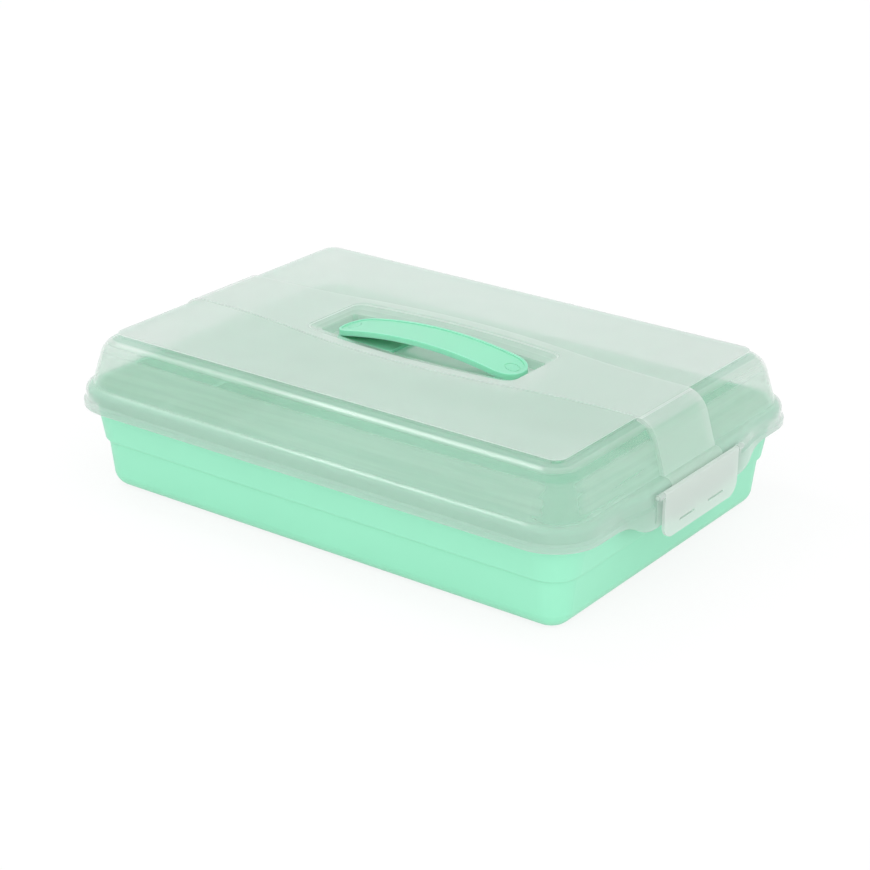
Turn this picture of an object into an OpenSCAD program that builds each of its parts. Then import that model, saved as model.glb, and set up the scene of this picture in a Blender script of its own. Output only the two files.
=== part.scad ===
// Cake carrier: a shallow tray, a domed translucent lid hinged at one short end,
// a clip latch at the other end and a strap handle in a recess of the lid.
// X runs along the length with the latch at +X and the hinge at -X, +Z is up, and the
// origin is the middle of the tray's underside. Millimetres throughout.

/* [Rim] */
// Length of the rim between the straight ends
rim_l = 450; // [400:1:520]
// Width of the rim
rim_w = 314; // [280:1:380]
// Corner radius of the rim in plan
rim_r = 37; // [36:1:48]
// Height of the lid's flange above the table
rim_z = 84; // [80:1:96]
// How far the middle of each end stands out as a lug
lug_out = 4; // [2:0.5:8]
// Half width of the lug's flat face
lug_half = 58; // [58:1:70]
// Length along the end of the curve that leads into the lug
lug_run = 38; // [20:1:44]

/* [Tray] */
// Wall thickness of the tray
tray_wall = 2; // [1.5:0.1:2.5]
// Inset of the tray wall at its foot
foot_in = 20; // [18:0.5:21]
// Radius between the tray's floor and its wall
foot_r = 13.7; // [8:0.1:14]
// Height of the step round the tray wall
step_z = 38.5; // [30:0.5:44]
// Width of the step
step_r = 2.8; // [1.5:0.1:3.5]
// Inset of the tray wall under the step
step_in = 17.2; // [16.5:0.1:18]
// Inset of the tray wall under its flange
neck_in = 10; // [9.5:0.1:11]
// Depth of the lip that hangs from the tray's flange
lip_drop = 8; // [5:0.5:12]

/* [Lid] */
// Wall thickness of the lid
lid_wall = 1.6; // [1.2:0.1:2]
// Inset of the dome wall where it meets the flange
dome_in = 7.3; // [6.8:0.1:8]
// Lean of the dome wall from upright
dome_draft = 16.7; // [10:0.1:17]
// Height of the dome's shoulder above the flange
dome_h = 35.4; // [30:0.1:50]
// Radius of the dome's top edge
dome_r = 17.3; // [10:0.1:18]
// Height of the raised top panel above the shoulder
panel_h = 2.5; // [1.5:0.1:3]
// Inset of the raised panel from the rim's outline
panel_in = 28; // [26:0.5:30]
// Width of the band that runs over the lid
band_w = 68; // [60:1:76]
// How much further each edge of the band stands out beside the handle
band_bow = 16; // [12:0.5:20]
// Height of the band above the panel
band_h = 0.6; // [0.4:0.1:1.2]
// Radius of the flange's outer edge
flange_r = 5.5; // [4.5:0.1:5.6]
// Depth of the lid's skirt below the flange
skirt_h = 17; // [15:0.5:20]
// Height of the bead along the skirt's edge
bead_h = 4.5; // [3:0.5:6]
// How far the bead stands out
bead_out = 1.8; // [1:0.1:2]
// How much deeper the skirt hangs behind the latch
skirt_dip = 11; // [8:0.5:13]

/* [Handle] */
// Length of the strap
strap_l = 163; // [150:1:176]
// Width of the strap
strap_w = 34; // [26:1:38]
// Thickness of the strap
strap_t = 3.4; // [2.5:0.1:4]
// Rise of the strap's middle above its ends
strap_rise = 9.9; // [8:0.1:14]
// Height of the strap's middle above the panel
strap_up = 3.6; // [2:0.1:6]
// Height of the rounded edge along the strap
strap_bead = 0.8; // [0.4:0.1:1.2]
// Length of the foot under the strap's left end
foot_left = 56; // [30:1:60]
// Length of the foot under the strap's right end
foot_right = 16; // [14:1:30]
// Thickness of the feet
foot_t = 2.4; // [1.8:0.1:3]
// Radius of the pegs that hold the feet in the lid
peg_r = 3; // [2:0.1:4]
// Room beside the strap at each end of the recess
recess_room = 3.8; // [3:0.1:6]
// Room past each end of the strap
recess_end = 6.8; // [4:0.1:9]
// How much further each long side of the recess stands out in its middle
recess_bow = 7; // [5:0.5:9]
// Width of the sloped mouth along the sides of the recess
mouth_w = 14; // [10:0.5:15]
// Width of the sloped mouth at the ends of the recess
mouth_end = 6; // [4:0.5:8]
// Depth of the sloped mouth of the recess
mouth_d = 5; // [4:0.5:6]

/* [Latch] */
// Width of the latch
latch_w = 99.4; // [80:0.2:104]
// Height of the latch below its pivot
latch_h = 33.6; // [33:0.2:40]
// Thickness of the latch
latch_t = 2.2; // [1.8:0.1:2.6]
// Corner radius at the latch's lower edge
latch_r = 11; // [6:0.5:14]
// Radius of the latch's pivot barrel
barrel_r = 2; // [1.8:0.1:2.4]
// Radius of the latch's pivot pins
pin_r = 1.4; // [1.2:0.1:1.5]
// Width of each ear that holds a pivot pin
ear_w = 7.4; // [5:0.1:9]
// Width of each slot in the latch
slot_w = 20; // [12:0.5:26]
// Height of each slot
slot_h = 1.6; // [1.2:0.1:2.4]
// Distance of each slot from the middle of the latch
slot_off = 9.5; // [6:0.5:14]

/* [Hinge] */
// Radius of the hinge rod
rod_r = 2; // [1.5:0.1:2.5]
// Outer radius of the hinge knuckles
knuckle_r = 4.2; // [3.8:0.1:4.4]
// Length of each knuckle of the lid
knuckle_w = 15.2; // [10:0.2:24]
// Thickness of each ear of the tray
bracket_w = 8; // [5:0.5:10]
// Distance of the inner ears from the middle
bracket_off = 20; // [12:1:30]

/* [Fits] */
// Gap between pieces that rest on each other
seat_gap = 0.3; // [0.2:0.05:0.4]
// Gap between the tray's lip and the lid's skirt
skirt_gap = 0.5; // [0.4:0.05:0.7]
// Gap at each side of a knuckle or the latch
side_gap = 0.4; // [0.3:0.05:0.6]
// Radial clearance of the pins in their bores
bore_gap = 0.05; // [0.03:0.01:0.1]

/* [Hidden] */
$fn = 64;

mint = [0.61, 0.93, 0.78];
clear = [0.80, 0.90, 0.85, 0.55];
frost = [0.86, 0.91, 0.89, 0.8];

// Number of flats in a moulded fillet
fillet_n = 8;
// Overlap that joins blocks of one moulding
bite = 1;

// Plan: the corner centres, and the curve that leads from the straight end into the lug
corner_x = rim_l / 2 - rim_r;
corner_y = rim_w / 2 - rim_r;
end_x = rim_l / 2;
lug_x = end_x + lug_out;
lug_far = lug_half + lug_run;
// Number of flats along each curve of the lug: an odd one, so that the cut falls inside a flat
lug_steps = 25;

// Radius and half angle of a curve of two equal arcs with the given run and rise
function ease_r(run, rise) = (run * run + rise * rise) / (4 * rise);
function ease_a(run, rise) = asin(run / 2 / ease_r(run, rise));

// Points [run, height] along such a curve, from low to high
function ease(run, low, high) =
    let (r = ease_r(run, high - low), a = ease_a(run, high - low) / fillet_n)
    concat([for (k = [0:fillet_n]) [r * sin(a * k), low + r * (1 - cos(a * k))]],
           [for (k = [fillet_n - 1:-1:0]) [run - r * sin(a * k), high - r * (1 - cos(a * k))]]);

// Closed outline from the points of its quarter, which run from the Y axis to the end
function outline(quarter) =
    let (n = len(quarter) - 1)
    concat(quarter, [for (k = [n:-1:0]) [quarter[k][0], -quarter[k][1]]],
           [for (k = [1:n]) [-quarter[k][0], -quarter[k][1]]],
           [for (k = [n:-1:1]) [-quarter[k][0], quarter[k][1]]]);

// Points [inset, height] along an arc about [ci, cz]: 0 degrees faces out and 90 faces up
function arc(ci, cz, r, a0, a1) =
    [for (k = [0:fillet_n]) let (a = a0 + (a1 - a0) * k / fillet_n) [ci - r * cos(a), cz + r * sin(a)]];

// Tray walls: the outer face, and the inner face one wall further in
flange_z = rim_z - lid_wall - seat_gap;
flange_t = 1.8;
neck_z = rim_z - skirt_h;
step_top = step_z + step_r;
function tray_in(z) = step_in - step_r + (neck_in - step_in + step_r) * (z - step_top) / (neck_z - step_top);
tray_outer = concat(
    arc(foot_in + foot_r, foot_r, foot_r, -90, 0),
    arc(step_in, step_top, step_r, -90, 0),
    [[neck_in, neck_z], [neck_in, flange_z]]);
tray_inner = concat(
    arc(foot_in + foot_r, foot_r, foot_r - tray_wall, -90, 0),
    arc(step_in + tray_wall, step_top, step_r, -90, 0),
    [[neck_in + tray_wall, neck_z], [neck_in + tray_wall, flange_z + bite]]);

// Tray flange: a shelf with a rounded edge and a lip that hangs inside the lid's skirt and
// shows below it at the lug
skirt_in = bead_out + lid_wall;
lip_in = skirt_in + skirt_gap;
lip_t = 1.8;
lip_back = lip_in + lip_t;
lip_show = 2;
lip_z = flange_z - lip_drop;
lip_dip_z = neck_z - skirt_dip - lip_show;
shelf_in = neck_in + tray_wall + lug_out + bite;
edge_r = flange_r - lid_wall - seat_gap;
edge_in = lip_in + edge_r;
tray_rim = concat(
    [[shelf_in, flange_z], [edge_in, flange_z]],
    arc(edge_in, flange_z - edge_r, edge_r, 90, 0),
    [[lip_in, lip_z], [lip_back, lip_z], [lip_back, flange_z - flange_t], [shelf_in, flange_z - flange_t]]);
tray_lip = [[lip_in, lip_dip_z], [lip_in, lip_z + bite], [lip_back, lip_z + bite], [lip_back, lip_dip_z]];

// Lid dome: the wall leans in to the shoulder's fillet, and the inner face is one wall inside
shoulder_z = rim_z + dome_h;
dome_cz = shoulder_z - dome_r;
dome_side_z = dome_cz + dome_r * sin(dome_draft);
dome_ci = dome_in + (dome_side_z - rim_z) * tan(dome_draft) + dome_r * cos(dome_draft);
wall_step = lid_wall / cos(dome_draft);
dome_outer = concat(
    [[dome_in, rim_z - lid_wall], [dome_in, rim_z]],
    arc(dome_ci, dome_cz, dome_r, dome_draft, 90));
dome_inner = concat(
    [[dome_in + wall_step, rim_z - lid_wall - bite], [dome_in + wall_step, rim_z]],
    arc(dome_ci, dome_cz, dome_r - lid_wall, dome_draft, 90));
panel_z = shoulder_z + panel_h;
band_z = panel_z + band_h;
// Length over which each edge of the band leads from the end to the middle
bow_run = 190;

// Lid rim: a rounded flange, the skirt and the bead along its edge, with a bevel underneath
skirt_z = rim_z - skirt_h;
ring_in = dome_in + wall_step + lug_out + bite;
bevel = 0.6;
lid_rim = concat(
    [[ring_in, rim_z], [bead_out + flange_r, rim_z]],
    arc(bead_out + flange_r, rim_z - flange_r, flange_r, 90, 0),
    [[bead_out, skirt_z + bead_h + bead_out], [0, skirt_z + bead_h], [0, skirt_z + bevel], [bevel, skirt_z],
     [skirt_in, skirt_z], [skirt_in, rim_z - flange_r]],
    arc(bead_out + flange_r, rim_z - flange_r, flange_r - lid_wall, 0, 90),
    [[ring_in, rim_z - lid_wall]]);
apron_z = skirt_z - skirt_dip;
apron = [[0, apron_z], [0, skirt_z + bite], [lid_wall, skirt_z + bite], [lid_wall, apron_z]];

// Handle: the strap is part of a ring about an axis along Y
recess_l = strap_l + 2 * recess_end;
recess_w = strap_w + 2 * recess_room;
recess_r = 4;
side_r = (recess_l * recess_l / 4 + recess_bow * recess_bow) / (2 * recess_bow);
mouth_lean = atan(mouth_d / mouth_w);
strap_r = (strap_l * strap_l / 4 + strap_rise * strap_rise) / (2 * strap_rise);
strap_z = panel_z + strap_up;
strap_end_z = strap_z - strap_rise;
foot_z = strap_end_z - strap_t - foot_t + bite / 2;
floor_z = foot_z - seat_gap;
strap_plan_r = 16;
strap_edge = 2.2;
riser_l = 8;
peg_in = 9.5;
peg_x = strap_l / 2 - peg_in;
peg_head = 1;
peg_head_h = 1.7;
ring_r = 6;
ring_w = 0.9;
ring_d = 0.5;

// Latch: the pivot lies just outside the lug, and the plate hangs from it
pivot_x = lug_x + side_gap + latch_t - barrel_r;
pivot_z = rim_z - flange_r;
latch_out = pivot_x + barrel_r;
latch_z = pivot_z - latch_h;
slot_z = lip_dip_z - bite;
hook_h = 3;
hook_x = lug_x - lip_in + seat_gap;
ear_r = barrel_r + 0.4;
ear_z = apron_z + 4;

// Hinge: the rod lies under the edge of the lid's skirt
hinge_x = -(latch_out - knuckle_r);
hinge_z = skirt_z - knuckle_r - seat_gap;
gusset = 8;
knuckle_y = bracket_off + bracket_w + side_gap;
rod_half = knuckle_y + knuckle_w + side_gap + bracket_w;

// Solid on a rounded-rectangle plan, whose wall follows [inset, height] points from the bottom up
module form(l, w, r, points) {
    cx = l / 2 - r;
    cy = w / 2 - r;
    low = points[0][1];
    high = points[len(points) - 1][1];
    edge = [for (p = points) [r - p[0], p[1]]];
    mirrored = [for (k = [len(points) - 1:-1:0]) [points[k][0] - r - cy, points[k][1]]];
    wall = concat([[0, low]], edge, [[0, high]]);
    translate([-cx, 0, 0]) rotate([90, 0, 90]) linear_extrude(2 * cx)
        polygon(concat([for (p = edge) [p[0] + cy, p[1]]], mirrored));
    for (turn = [0, 180])
        rotate(turn) {
            translate([cx, cy, 0]) rotate([90, 0, 0]) linear_extrude(2 * cy) polygon(wall);
            translate([cx, cy, 0]) rotate_extrude(angle = 90) polygon(wall);
            translate([cx, -cy, 0]) rotate(-90) rotate_extrude(angle = 90) polygon(wall);
        }
}

// Tall block on a plan outline, used to cut the curves of the lug to length
module slab(plan) {
    linear_extrude(2 * rim_z) polygon(plan);
}

// Parts of the rim's path at the +X end: the lug's face and the curves that lead into it. The two
// curves on each side meet on the line through their centres, and one line cuts both of them.
module lug_path(points) {
    r = ease_r(lug_run, lug_out);
    a = ease_a(lug_run, lug_out);
    flats = ceil(180 * lug_steps / a);
    across = [cos(a), sin(a)];
    mid = [lug_x - lug_out / 2, lug_half + lug_run / 2];
    inner = mid - rim_r * across;
    outer = mid + lug_run / 2 * across;
    translate([lug_x, lug_half, 0]) rotate([90, 0, 0]) linear_extrude(2 * lug_half)
        polygon([for (p = points) [-p[0], p[1]]]);
    for (side = [0, 1])
        mirror([0, side, 0]) {
            intersection() {
                translate([lug_x - r, lug_half, 0]) rotate_extrude(angle = 2 * a, $fn = flats)
                    polygon([for (p = points) [r - p[0], p[1]]]);
                slab([inner, [inner[0], lug_half - bite], [outer[0], lug_half - bite], outer]);
            }
            intersection() {
                translate([end_x + r, lug_far, 0]) rotate(180) rotate_extrude(angle = 2 * a, $fn = flats)
                    polygon([for (p = points) [r + p[0], p[1]]]);
                slab([inner, outer, [outer[0], lug_far + bite], [inner[0], lug_far + bite]]);
            }
        }
}

// Closed section of [inset, height] points carried round the whole rim
module rim(points) {
    section = [for (p = points) [rim_r - p[0], p[1]]];
    for (turn = [0, 180])
        rotate(turn) {
            translate([-corner_x, corner_y, 0]) rotate([90, 0, 90])
                linear_extrude(2 * corner_x) polygon(section);
            translate([corner_x, corner_y, 0]) rotate_extrude(angle = 90) polygon(section);
            translate([corner_x, -corner_y, 0]) rotate(-90) rotate_extrude(angle = 90) polygon(section);
            for (side = [0, 1])
                mirror([0, side, 0])
                    translate([corner_x, corner_y, 0]) rotate([90, 0, 0])
                        linear_extrude(corner_y - lug_far) polygon(section);
            lug_path(points);
        }
}

// Outline in Y and height of a wall that dips from high to low across the lug
module dip(high, low) {
    curve = ease(lug_run, low, high);
    right = [for (p = curve) [lug_half + p[0], p[1]]];
    left = [for (k = [len(curve) - 1:-1:0]) [-lug_half - curve[k][0], curve[k][1]]];
    polygon(concat([[-lug_far, high + bite]], left, right, [[lug_far, high + bite]]));
}

// The part of a wall round the lug that the dip leaves
module dipped(points, high, low) {
    intersection() {
        lug_path(points);
        translate([corner_x, 0, 0]) rotate([90, 0, 90]) linear_extrude(2 * rim_r) dip(high, low);
    }
}

module base_tray() {
    color(mint) union() {
        difference() {
            union() {
                form(rim_l, rim_w, rim_r, tray_outer);
                rim(tray_rim);
            }
            form(rim_l, rim_w, rim_r, tray_inner);
        }
        dipped(tray_lip, lip_z, lip_dip_z);
        for (side = [-1, 1], first = [bracket_off, knuckle_y + knuckle_w + side_gap])
            hinge_bracket(side * (first + bracket_w / 2));
    }
}

// Ear on the tray that carries the hinge rod
module hinge_bracket(y) {
    low = hinge_z - knuckle_r;
    high = hinge_z + knuckle_r;
    difference() {
        translate([0, y + bracket_w / 2, 0]) rotate([90, 0, 0]) linear_extrude(bracket_w) {
            translate([hinge_x, hinge_z]) circle(knuckle_r);
            polygon([[hinge_x, high], [-end_x + tray_in(high) + bite, high],
                     [-end_x + tray_in(low - gusset) + bite, low - gusset], [hinge_x, low]]);
        }
        translate([hinge_x, y + bracket_w, hinge_z]) rotate([90, 0, 0])
            cylinder(r = rod_r + bore_gap, h = 2 * bracket_w);
    }
}

// Knuckle on the lid, joined to the skirt's bead above it
module lid_knuckle(y) {
    difference() {
        translate([0, y + knuckle_w / 2, 0]) rotate([90, 0, 0]) linear_extrude(knuckle_w) {
            translate([hinge_x, hinge_z]) circle(knuckle_r);
            translate([-lug_x, hinge_z]) square([skirt_in, skirt_z - hinge_z + bead_h]);
        }
        translate([hinge_x, y + knuckle_w, hinge_z]) rotate([90, 0, 0])
            cylinder(r = rod_r + bore_gap, h = 2 * knuckle_w);
    }
}

// Ear on the lid's lug that holds one pivot pin of the latch
module latch_ear(side) {
    near = latch_w / 2 + side_gap;
    y = side * (near + ear_w / 2);
    difference() {
        translate([0, y + ear_w / 2, 0]) rotate([90, 0, 0]) linear_extrude(ear_w) {
            translate([pivot_x, pivot_z]) circle(ear_r);
            translate([lug_x - bead_out - bite, ear_z])
                square([pivot_x - lug_x + bead_out + bite, pivot_z - ear_z]);
        }
        translate([pivot_x, y + ear_w, pivot_z]) rotate([90, 0, 0])
            cylinder(r = pin_r + bore_gap, h = 2 * ear_w);
    }
}

// The band's plan, drawn in by a distance: its edges stand out beside the handle
module band_plan(shrink) {
    half = band_w / 2 - shrink;
    curve = ease(bow_run, half, half + band_bow);
    polygon(outline(concat([for (k = [len(curve) - 1:-1:0]) [bow_run - curve[k][0], curve[k][1]]],
                           [[end_x + bite, half]])));
}

// The band's solid, grown outwards by a distance from the dome's shoulder and walls
module band(grow, shrink) {
    r = dome_r + grow;
    foot = [dome_in - grow / cos(dome_draft), rim_z - lid_wall];
    side = concat([foot, [foot[0], rim_z]], arc(dome_ci, dome_cz, r, dome_draft, 90));
    intersection() {
        translate([0, band_w, 0]) rotate([90, 0, 0]) linear_extrude(2 * band_w)
            polygon(concat([for (p = side) [end_x - p[0], p[1]]],
                           [for (k = [len(side) - 1:-1:0]) [side[k][0] - end_x, side[k][1]]]));
        linear_extrude(2 * rim_z) band_plan(shrink);
    }
}

// Rounded-rectangle plate for the raised panel
module panel(shrink, low, high) {
    form(rim_l - 2 * panel_in - 2 * shrink, rim_w - 2 * panel_in - 2 * shrink,
         rim_r - panel_in - shrink, [[0, low], [0, high]]);
}

// The recess's plan, grown at its sides and at its ends: the long sides are arcs
module recess_plan(side, end) {
    half = recess_l / 2 + end;
    corner = recess_r + min(side, end);
    r = side_r + side;
    low = recess_w / 2 + recess_bow - side_r;
    turn = asin((half - corner) / (r - corner));
    y = low + (r - corner) * cos(turn);
    polygon(outline(concat(
        [for (k = [0:fillet_n]) [r * sin(turn * k / fillet_n), low + r * cos(turn * k / fillet_n)]],
        [for (k = [fillet_n - 1:-1:0]) let (a = (90 - turn) * k / fillet_n)
            [half - corner + corner * cos(a), y + corner * sin(a)]])));
}

// The recess's hollow, or its tub when grown by the lid's wall: upright walls and a sloped mouth
module recess(grow) {
    low = band_z - mouth_d - grow * tan(45 - mouth_lean / 2);
    high = band_z - grow;
    spread = grow * tan(mouth_lean / 2);
    translate([0, 0, floor_z - grow]) linear_extrude(low - floor_z + grow) recess_plan(grow, grow);
    hull() {
        translate([0, 0, low]) linear_extrude(bite) recess_plan(grow, grow);
        translate([0, 0, high]) linear_extrude(grow + bite) recess_plan(mouth_w + spread, mouth_end + spread);
    }
}

module lid_shell() {
    color(clear) difference() {
        union() {
            form(rim_l, rim_w, rim_r, dome_outer);
            panel(0, shoulder_z - bite, panel_z);
            band(panel_h + band_h, 0);
            rim(lid_rim);
            dipped(apron, skirt_z, apron_z);
            for (side = [-1, 1]) {
                latch_ear(side);
                lid_knuckle(side * (knuckle_y + knuckle_w / 2));
            }
        }
        difference() {
            union() {
                form(rim_l, rim_w, rim_r, dome_inner);
                panel(lid_wall, shoulder_z - lid_wall - bite, panel_z - lid_wall);
                band(panel_h + band_h - lid_wall, lid_wall);
            }
            recess(lid_wall);
        }
        recess(0);
        for (side = [-1, 1])
            translate([side * peg_x, 0, floor_z - lid_wall - bite])
                cylinder(r = peg_r + bore_gap, h = lid_wall + 2 * bite);
    }
}

// Plan of the strap, drawn in by a distance
module strap_plan(inset) {
    form(strap_l - 2 * inset, strap_w - 2 * inset, strap_plan_r - inset,
         [[0, foot_z - bite], [0, strap_z + strap_bead + bite]]);
}

// Section of the strap between two distances from its axis
module strap_ring(inner, outer) {
    translate([0, strap_w / 2, strap_z - strap_r]) rotate([90, 0, 0]) linear_extrude(strap_w)
        difference() {
            circle(outer, $fn = 360);
            circle(inner, $fn = 360);
        }
}

// Foot under one end of the strap, with the riser that joins them
module handle_foot(side, length) {
    half = strap_l / 2;
    translate([side > 0 ? half - length : -half, -strap_w / 2, foot_z]) cube([length, strap_w, foot_t]);
    translate([side > 0 ? half - riser_l : -half, -strap_w / 2, foot_z])
        cube([riser_l, strap_w, strap_end_z - foot_z - bite]);
}

// Strap with its raised edge, feet and pegs
module strap() {
    intersection() {
        union() {
            strap_ring(strap_r - strap_t, strap_r);
            handle_foot(-1, foot_left);
            handle_foot(1, foot_right);
        }
        strap_plan(0);
    }
    intersection() {
        strap_ring(strap_r - bite, strap_r + strap_bead);
        difference() {
            strap_plan(0);
            strap_plan(strap_edge);
        }
    }
    for (side = [-1, 1])
        translate([side * peg_x, 0, floor_z - lid_wall - seat_gap]) {
            translate([0, 0, -bite / 2]) cylinder(r = peg_r, h = lid_wall + 2 * seat_gap + bite);
            translate([0, 0, -peg_head_h]) cylinder(r = peg_r + peg_head, h = peg_head_h);
        }
}

// Ring sunk in the strap's top over one of its pegs
module peg_ring(side) {
    translate([0, 0, strap_z - strap_r]) rotate([0, side * asin(peg_x / strap_r), 0])
        translate([0, 0, strap_r - ring_d]) linear_extrude(bite) difference() {
            circle(ring_r);
            circle(ring_r - ring_w);
        }
}

module carry_handle() {
    color(mint) difference() {
        strap();
        for (side = [-1, 1])
            peg_ring(side);
    }
}

// Outline of the latch plate in Y and height
module latch_face() {
    half = latch_w / 2;
    difference() {
        union() {
            translate([-half, latch_z + latch_r]) square([latch_w, pivot_z - latch_z - latch_r]);
            translate([-half + latch_r, latch_z]) square([latch_w - 2 * latch_r, latch_r + bite]);
            for (side = [-1, 1])
                translate([side * (half - latch_r), latch_z + latch_r]) circle(latch_r);
        }
        for (side = [-1, 1])
            translate([side * (slot_off + slot_w / 2) - slot_w / 2, slot_z]) square([slot_w, slot_h]);
    }
}

module end_latch() {
    color(frost) union() {
        translate([latch_out - latch_t, 0, 0]) rotate([90, 0, 90]) linear_extrude(latch_t) latch_face();
        translate([pivot_x, latch_w / 2, pivot_z]) rotate([90, 0, 0]) cylinder(r = barrel_r, h = latch_w);
        translate([pivot_x, latch_w / 2 + ear_w, pivot_z]) rotate([90, 0, 0])
            cylinder(r = pin_r, h = latch_w + 2 * ear_w);
        for (side = [-1, 1])
            translate([hook_x, side * (slot_off + slot_w / 2) - slot_w / 2, slot_z - hook_h])
                cube([latch_out - bite - hook_x, slot_w, hook_h]);
    }
}

module lid_hinge_rod() {
    color(mint) translate([hinge_x, rod_half, hinge_z]) rotate([90, 0, 0])
        cylinder(r = rod_r, h = 2 * rod_half);
}

base_tray();
lid_shell();
carry_handle();
end_latch();
lid_hinge_rod();
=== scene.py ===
"""Looks of a cake carrier: a mint tray, a hazy see-through lid with a frosted band, a frosted latch
and a mint strap handle, on a plain white stage. Every length is in metres."""

import math

import bpy
from mathutils import Matrix, Vector


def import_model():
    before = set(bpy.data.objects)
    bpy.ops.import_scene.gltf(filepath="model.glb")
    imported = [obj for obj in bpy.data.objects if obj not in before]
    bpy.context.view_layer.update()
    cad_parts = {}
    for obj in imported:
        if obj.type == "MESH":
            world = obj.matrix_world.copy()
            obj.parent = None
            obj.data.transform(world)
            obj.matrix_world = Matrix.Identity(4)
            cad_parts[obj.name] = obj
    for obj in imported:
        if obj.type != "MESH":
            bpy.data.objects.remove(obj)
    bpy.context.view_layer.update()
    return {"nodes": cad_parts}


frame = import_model()

# Camera: where it stands round the object, its roll, the point that it looks at, its lens, and the
# nearest and farthest distance that it shows
CAMERA_AZIMUTH = 36.1
CAMERA_ELEVATION = 23.0
CAMERA_DISTANCE = 1.676
CAMERA_ROLL = 0.4
CAMERA_TARGET = Vector((0.0038, -0.0002, 0.0476))
CAMERA_LENS = 92.98
CAMERA_CLIP = (0.01, 50.0)

# Light of the room: its middle level, how much it changes, and the direction where it is brightest
ROOM_LEVEL = 1.03
ROOM_SLOPE = 0.75
ROOM_FRONT = (0.69, -0.69, 0.20)

# The two lamps, which give the highlights on the dome's edges: their size, and each one's place and power
LAMP_SIZE = (0.34, 0.42)
LAMPS = {
    "strip": ((-0.72, -0.10, 1.40), 2.4),
    "strip_far": ((-1.12, -0.10, 1.40), 1.0),
}

# Floor: its size, its colour, and how much of it the camera sees as plain white, so that the rest shows
# the object's shadow
FLOOR_SIZE = 12.0
FLOOR = (0.90, 0.90, 0.90)
FLOOR_WHITE = 0.85

# Colours, linear
WHITE = (1.0, 1.0, 1.0)
MINT = (0.280, 0.695, 0.485)
# The strap's colour is the mint made darker: painted shade.
STRAP_PAINTED_SHADE = (0.260, 0.650, 0.452)
HAZE = (0.840, 0.910, 0.870)
FROST = (0.830, 0.890, 0.855)

# Mint plastic: the scale of its cloudiness and how dark and pale this makes the colour, its fine moulded
# grain, the detail of both, its refraction, and how deep light of each colour gets into it
CLOUD_SCALE = 14.0
CLOUD_SHARE = (0.97, 1.03)
GRAIN_SCALE = 900.0
GRAIN_STRENGTH = 0.05
GRAIN_HEIGHT = 0.0004
NOISE_DETAIL = 2.0
PLASTIC_IOR = 1.45
GLOW_DEPTH = 0.006
GLOW_COLOURS = (0.6, 1.0, 0.8)

# See-through plastic: the share that it mirrors when seen straight on, and how late that share grows
# towards the edge-on view
MIRROR_LEAST = 0.04
MIRROR_POWER = 4.0

# Lid. A change of its haze is added to the share of light that each face scatters.
# Faint streaks in the haze: how often they repeat along x, y and z, the noise levels between which they
# run from clearest to haziest, and how much they change the haze
STREAKS = (5.0, 5.0, 120.0)
STREAK_DETAIL = 3.0
STREAK_LIMITS = (0.3, 0.7)
STREAK_DEPTH = 0.045
# Frosted band over the lid: from the middle to each edge at the ends, how far the edges bow out by the
# middle, the length over which they do so, the height that it comes down to, and its extra haze
BAND_HALF = 0.0344
BAND_BOW = 0.016
BAND_RUN = 0.190
BAND_FOOT = 0.066
BAND_HAZE = 0.14
# Skirt and flange: the heights between which they end, their greyer colour, which is painted shade, their
# extra haze, and what the lug under the band has besides
SKIRT_TOP = (0.0810, 0.0860)
SKIRT_PAINTED_SHADE = (0.770, 0.840, 0.808)
SKIRT_HAZE = 0.12
LUG_HAZE = 0.10
# Top: the heights between which it starts, the paler colour that the handle's recess has as well, and
# its extra haze; the paler colour and the extra haze are painted light
TOP = (0.1150, 0.1172)
PAINTED_LIGHT_PALE = (0.938, 0.925, 0.932)
TOP_PAINTED_LIGHT_HAZE = 0.07
# Handle's recess: half its length, half its width, the height that it lies under, the change of its
# haze, and what its level floor has besides; its paler colour and its floor's extra haze are painted
# light over the strap's shade
TUB = (0.100, 0.045, 0.1195)
TUB_HAZE = -0.08
TUB_FLOOR_PAINTED_LIGHT_HAZE = 0.30
# Raised panel's edge: the heights between which it starts, and between which it ends, the normal's z at
# which a face counts as level, how much clearer it is, and the green tint of its clear plastic; the
# clearer plastic and the tint paint a dark stripe along the edge
EDGE_FOOT = (0.1174, 0.1180)
EDGE_TOP = (0.1212, 0.1219)
EDGE_LEVEL = 0.985
EDGE_CLEAR = 0.12
EDGE_PAINTED_DARK_TINT = (0.74, 0.90, 0.83)
# Painted highlight: a light line along the top of that edge, where it starts, and the extra haze that
# paints it
LINE_FOOT = 0.1213
LINE_PAINTED_HIGHLIGHT_HAZE = 0.35
# Strip under the dome's top edge: the heights between which it starts, and between which it ends, and
# how much clearer it is
UNDER_FOOT = (0.1080, 0.1112)
UNDER_TOP = (0.1140, 0.1155)
UNDER_CLEAR = 0.12
# Dome's corners: the products of the normal's x and y between which they start, and how much clearer
# they are
CORNER_TURN = (0.0, 0.5)
CORNER_CLEAR = 0.08
# How much clearer the end walls are
END_CLEAR = 0.05


def empty_tree(owner):
    """The node tree of a material or a world, with nothing in it."""
    owner.use_nodes = True
    owner.node_tree.nodes.clear()
    return owner.node_tree


def add(tree, kind, inputs=None, **settings):
    """A node with its own settings. Each input, by name or number, is linked to a socket or set to a
    value, and a colour is given without its alpha."""
    node = tree.nodes.new(kind)
    for key, value in settings.items():
        setattr(node, key, value)
    for key, value in (inputs or {}).items():
        socket = node.inputs[key]
        if isinstance(value, bpy.types.NodeSocket):
            tree.links.new(value, socket)
        elif socket.type == "RGBA":
            socket.default_value = (*value, 1.0)
        else:
            socket.default_value = value
    return node


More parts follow.
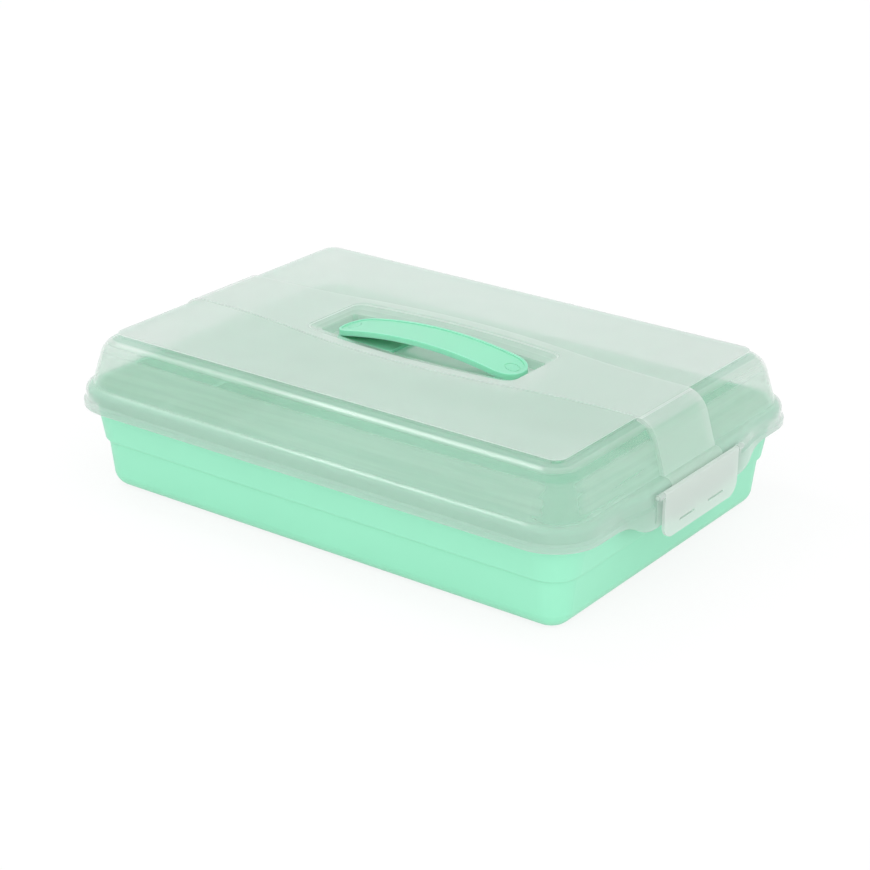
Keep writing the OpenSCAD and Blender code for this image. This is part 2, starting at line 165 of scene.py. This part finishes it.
def calc(tree, operation, *terms):
    """The output of a Math node. Each term is a number or a socket."""
    return add(tree, "ShaderNodeMath", dict(enumerate(terms)), operation=operation).outputs[0]


def blend(tree, factor, first, second):
    """A mix of two colours."""
    inputs = {"Factor": factor, "A": first, "B": second}
    return add(tree, "ShaderNodeMix", inputs, data_type="RGBA").outputs["Result"]


def mix_shader(tree, factor, first, second):
    """A mix of two shaders."""
    return add(tree, "ShaderNodeMixShader", {0: factor, 1: first, 2: second}).outputs[0]


def noise(tree, place, scale, detail):
    """The level of a noise texture at the place."""
    inputs = {"Vector": place, "Scale": scale, "Detail": detail}
    return add(tree, "ShaderNodeTexNoise", inputs).outputs["Fac"]


def ramp(tree, value, low, high, start=0.0, end=1.0):
    """A smooth step of the value, from start at low to end at high."""
    inputs = {"Value": value, "From Min": low, "From Max": high, "To Min": start, "To Max": end}
    return add(tree, "ShaderNodeMapRange", inputs, interpolation_type="SMOOTHSTEP").outputs["Result"]


def chain(tree, operation, terms):
    """The terms joined one after another by the same operation."""
    total, *others = terms
    for term in others:
        total = calc(tree, operation, total, term)
    return total


def both(tree, *masks):
    """1 where all the masks are 1."""
    return chain(tree, "MULTIPLY", masks)


def either(tree, *masks):
    """1 where one of the masks is 1."""
    return chain(tree, "MAXIMUM", masks)


def outside(tree, mask):
    """1 where the mask is 0."""
    return calc(tree, "SUBTRACT", 1.0, mask)


def within(tree, value, half):
    """1 where the value lies within half of zero, else 0."""
    return calc(tree, "LESS_THAN", calc(tree, "ABSOLUTE", value), half)


def above(tree, value, limit):
    """1 where the value is over the limit, else 0."""
    return calc(tree, "GREATER_THAN", value, limit)


def below(tree, value, limit):
    """1 where the value is under the limit, else 0."""
    return calc(tree, "LESS_THAN", value, limit)


def between(tree, value, foot, top):
    """1 from the foot to the top, with a smooth step over each pair of limits."""
    return both(tree, ramp(tree, value, *foot), ramp(tree, value, *top, 1.0, 0.0))


def twice_square(tree, value):
    """Twice the square of the value."""
    return calc(tree, "MULTIPLY", calc(tree, "POWER", value, 2.0), 2.0)


def mint_material(name, colour, roughness, glow=0.0, shine=0.5):
    """Solid polypropylene: a faint cloudiness in the colour and a fine moulded grain. The glow is the
    share of the light that spreads inside the plastic before it leaves."""
    mat = bpy.data.materials.new(name)
    tree = empty_tree(mat)
    place = add(tree, "ShaderNodeTexCoord").outputs["Object"]
    cloud = noise(tree, place, CLOUD_SCALE, NOISE_DETAIL)
    grain = noise(tree, place, GRAIN_SCALE, NOISE_DETAIL)
    dark, light = (tuple(c * share for c in colour) for share in CLOUD_SHARE)
    bump = add(tree, "ShaderNodeBump",
               {"Height": grain, "Strength": GRAIN_STRENGTH, "Distance": GRAIN_HEIGHT})
    skin = add(tree, "ShaderNodeBsdfPrincipled", {
        "Base Color": blend(tree, cloud, dark, light),
        "Normal": bump.outputs["Normal"],
        "Roughness": roughness,
        "IOR": PLASTIC_IOR,
        "Specular IOR Level": shine,
        "Subsurface Weight": glow,
        "Subsurface Scale": GLOW_DEPTH,
        "Subsurface Radius": GLOW_COLOURS,
    })
    add(tree, "ShaderNodeOutputMaterial", {"Surface": skin.outputs[0]})
    return mat


def haze_material(name, colour, haze, forward, roughness, slant=0.0, zones=None):
    """See-through polypropylene. Each face scatters a share of the light, the haze, and lets the rest
    pass. Forward is how much of the scattered light goes on to the other side, and slant what the haze
    gains where the wall is seen edge-on. Zones is a function that says what changes over the piece.
    The surface mirrors more at a glancing view."""
    mat = bpy.data.materials.new(name)
    tree = empty_tree(mat)
    facing = add(tree, "ShaderNodeLayerWeight", {"Blend": 0.5}).outputs["Facing"]
    level = calc(tree, "MULTIPLY_ADD", facing, slant, haze) if slant else haze
    tint = WHITE
    if zones:
        changes, colour, tint = zones(tree, colour)
        for mask, change in changes:
            level = calc(tree, "MULTIPLY_ADD", mask, change, level)
    clear = add(tree, "ShaderNodeBsdfTransparent", {"Color": tint}).outputs[0]
    near = add(tree, "ShaderNodeBsdfDiffuse", {"Color": colour}).outputs[0]
    far = add(tree, "ShaderNodeBsdfTranslucent", {"Color": colour}).outputs[0]
    wall = mix_shader(tree, level, clear, mix_shader(tree, forward, near, far))
    glance = calc(tree, "POWER", facing, MIRROR_POWER)
    mirror = calc(tree, "MULTIPLY_ADD", glance, 1.0 - MIRROR_LEAST, MIRROR_LEAST)
    shine = add(tree, "ShaderNodeBsdfGlossy", {"Color": WHITE, "Roughness": roughness}).outputs[0]
    skin = mix_shader(tree, mirror, wall, shine)
    add(tree, "ShaderNodeOutputMaterial", {"Surface": skin})
    return mat


def streak_lines(tree, place):
    """The lid's faint streaks in the haze, from -1 in the clearest to 1 in the haziest."""
    stretch = add(tree, "ShaderNodeMapping", {"Vector": place, "Scale": STREAKS}).outputs["Vector"]
    return ramp(tree, noise(tree, stretch, 1.0, STREAK_DETAIL), *STREAK_LIMITS, -1.0, 1.0)


def band_mask(tree, x, y, z):
    """1 on the band over the lid, whose edges bow outwards beside the handle, else 0."""
    bow = outside(tree, calc(tree, "DIVIDE", calc(tree, "ABSOLUTE", x), BAND_RUN))
    # An ease in over the first half of the run and out over the second
    late = outside(tree, twice_square(tree, outside(tree, bow)))
    early = twice_square(tree, calc(tree, "MAXIMUM", bow, 0.0))
    second = above(tree, bow, 0.5)
    rise = calc(tree, "ADD", both(tree, second, late), both(tree, outside(tree, second), early))
    edge = calc(tree, "MULTIPLY_ADD", rise, BAND_BOW, BAND_HALF)
    return both(tree, within(tree, y, edge), above(tree, z, BAND_FOOT))


def lid_zones(tree, colour):
    """What changes over the lid: pairs of a mask and the change of the haze in it, the colour of the
    haze, and the tint of the clear plastic. Some of these paint light and shade: the paler top and
    recess are painted light, the greyer skirt is painted shade, the light line along the top of the
    raised panel's edge is a painted highlight, and the tinted, clearer edge is a painted dark stripe."""
    place = add(tree, "ShaderNodeTexCoord").outputs
    x, y, z = add(tree, "ShaderNodeSeparateXYZ", {"Vector": place["Object"]}).outputs
    normal = add(tree, "ShaderNodeSeparateXYZ", {"Vector": place["Normal"]}).outputs

    band = band_mask(tree, x, y, z)
    plain = outside(tree, band)
    skirt = ramp(tree, z, *SKIRT_TOP, 1.0, 0.0)
    turn = calc(tree, "ABSOLUTE", calc(tree, "MULTIPLY", normal["X"], normal["Y"]))
    corner = both(tree, ramp(tree, turn, *CORNER_TURN), outside(tree, skirt))
    open_wall = outside(tree, either(tree, corner, skirt, band))
    end = both(tree, calc(tree, "ABSOLUTE", normal["X"]), open_wall)
    under = both(tree, between(tree, z, UNDER_FOOT, UNDER_TOP), plain)
    # The top's paler colour and extra haze are painted light.
    top = ramp(tree, z, *TOP)
    # The handle's recess: its paler colour and hazier floor are painted light over the strap's shade.
    tub = both(tree, within(tree, x, TUB[0]), within(tree, y, TUB[1]), below(tree, z, TUB[2]), band)
    painted_light_tub_floor = both(tree, tub, above(tree, normal["Z"], EDGE_LEVEL))
    side = within(tree, normal["Z"], EDGE_LEVEL)
    # A painted dark stripe along the raised panel's edge.
    edge = both(tree, between(tree, z, EDGE_FOOT, EDGE_TOP), side, plain)
    # A painted highlight line along the top of the panel's edge.
    line = both(tree, above(tree, z, LINE_FOOT), below(tree, z, EDGE_TOP[1]), side)

    changes = (
        (both(tree, streak_lines(tree, place["Object"]), open_wall), STREAK_DEPTH),
        (corner, -CORNER_CLEAR),
        (end, -END_CLEAR),
        (skirt, SKIRT_HAZE),
        (both(tree, skirt, band), LUG_HAZE),
        (under, -UNDER_CLEAR),
        (band, BAND_HAZE),
        (tub, TUB_HAZE),
        (painted_light_tub_floor, TUB_FLOOR_PAINTED_LIGHT_HAZE),
        (top, TOP_PAINTED_LIGHT_HAZE),
        (edge, -EDGE_CLEAR),
        (line, LINE_PAINTED_HIGHLIGHT_HAZE),
    )
    # The skirt's greyer haze colour is painted shade.
    skirt_painted_shade_colour = blend(tree, both(tree, skirt, plain), colour, SKIRT_PAINTED_SHADE)
    # The paler colour on the top and in the handle's recess is painted light.
    haze_colour_with_painted_light = blend(tree, either(tree, top, tub), skirt_painted_shade_colour, PAINTED_LIGHT_PALE)
    # The green tint on the panel's edge paints its dark stripe.
    return changes, haze_colour_with_painted_light, blend(tree, edge, WHITE, EDGE_PAINTED_DARK_TINT)


def dress(node, mat):
    """Give the material to each slot of a CAD node."""
    for slot in frame["nodes"][node].material_slots:
        slot.material = mat


def camera():
    """The camera at the photograph's viewing angle."""
    azimuth = math.radians(CAMERA_AZIMUTH)
    height = math.radians(CAMERA_ELEVATION)
    back = Vector((math.sin(azimuth) * math.cos(height), -math.cos(azimuth) * math.cos(height),
                   math.sin(height)))
    cam = bpy.data.objects.new("camera", bpy.data.cameras.new("camera"))
    cam.data.lens = CAMERA_LENS
    cam.data.clip_start, cam.data.clip_end = CAMERA_CLIP
    turn = (-back).to_track_quat("-Z", "Y").to_matrix().to_4x4()
    cam.matrix_world = (Matrix.Translation(CAMERA_TARGET + back * CAMERA_DISTANCE) @ turn
                        @ Matrix.Rotation(math.radians(CAMERA_ROLL), 4, "Z"))
    bpy.context.scene.collection.objects.link(cam)
    bpy.context.scene.camera = cam


def seen_directly(tree):
    """1 for rays from the camera, and for what glass and gloss show, else 0."""
    rays = add(tree, "ShaderNodeLightPath").outputs
    return either(tree, rays["Is Camera Ray"], rays["Is Glossy Ray"], rays["Is Transmission Ray"])


def world():
    """A white ground, and the room's light, which is brighter towards the front right, like a wide
    window."""
    studio = bpy.data.worlds.new("studio")
    tree = empty_tree(studio)
    place = add(tree, "ShaderNodeTexCoord").outputs["Generated"]
    front = tuple(c * ROOM_SLOPE for c in ROOM_FRONT)
    towards = add(tree, "ShaderNodeVectorMath", {0: place, 1: front}, operation="DOT_PRODUCT")
    glow = calc(tree, "ADD", towards.outputs["Value"], ROOM_LEVEL)
    room = add(tree, "ShaderNodeBackground", {"Color": WHITE, "Strength": glow}).outputs[0]
    ground = add(tree, "ShaderNodeBackground", {"Color": WHITE, "Strength": 1.0}).outputs[0]
    mix = mix_shader(tree, seen_directly(tree), room, ground)
    add(tree, "ShaderNodeOutputWorld", {"Surface": mix})
    bpy.context.scene.world = studio


def floor():
    """A pale floor, of which the camera sees little more than the object's shadow."""
    bpy.ops.mesh.primitive_plane_add(size=FLOOR_SIZE, location=(0, 0, 0))
    plane = bpy.context.object
    plane.name = "floor"
    mat = bpy.data.materials.new("floor")
    tree = empty_tree(mat)
    paper = add(tree, "ShaderNodeBsdfDiffuse", {"Color": FLOOR}).outputs[0]
    white = add(tree, "ShaderNodeEmission", {"Color": WHITE, "Strength": 1.0}).outputs[0]
    share = calc(tree, "MULTIPLY", seen_directly(tree), FLOOR_WHITE)
    add(tree, "ShaderNodeOutputMaterial", {"Surface": mix_shader(tree, share, paper, white)})
    plane.data.materials.append(mat)


def lamp(name, place, power):
    """A rectangular lamp that points at the origin."""
    light = bpy.data.lights.new(name, "AREA")
    light.shape = "RECTANGLE"
    light.size, light.size_y = LAMP_SIZE
    light.energy = power
    ob = bpy.data.objects.new(name, light)
    ob.location = place
    ob.rotation_euler = (-Vector(place)).to_track_quat("-Z", "Y").to_euler()
    bpy.context.scene.collection.objects.link(ob)


camera()
world()
floor()
for lamp_name, (lamp_place, lamp_power) in LAMPS.items():
    lamp(lamp_name, lamp_place, lamp_power)
dress("base_tray", mint_material("tray_plastic", MINT, roughness=0.38))
dress("lid_hinge_rod", mint_material("rod_plastic", MINT, roughness=0.45))
# The strap gets the darker mint, which is painted shade.
dress("carry_handle", mint_material("strap_plastic", STRAP_PAINTED_SHADE, roughness=0.38, glow=0.6, shine=0.25))
dress("lid_shell", haze_material("lid_plastic", HAZE, haze=0.32, forward=0.7, roughness=0.16,
                                 slant=0.15, zones=lid_zones))
dress("end_latch", haze_material("latch_plastic", FROST, haze=0.7, forward=0.5, roughness=0.2))
bpy.context.scene.view_settings.view_transform = "Standard"
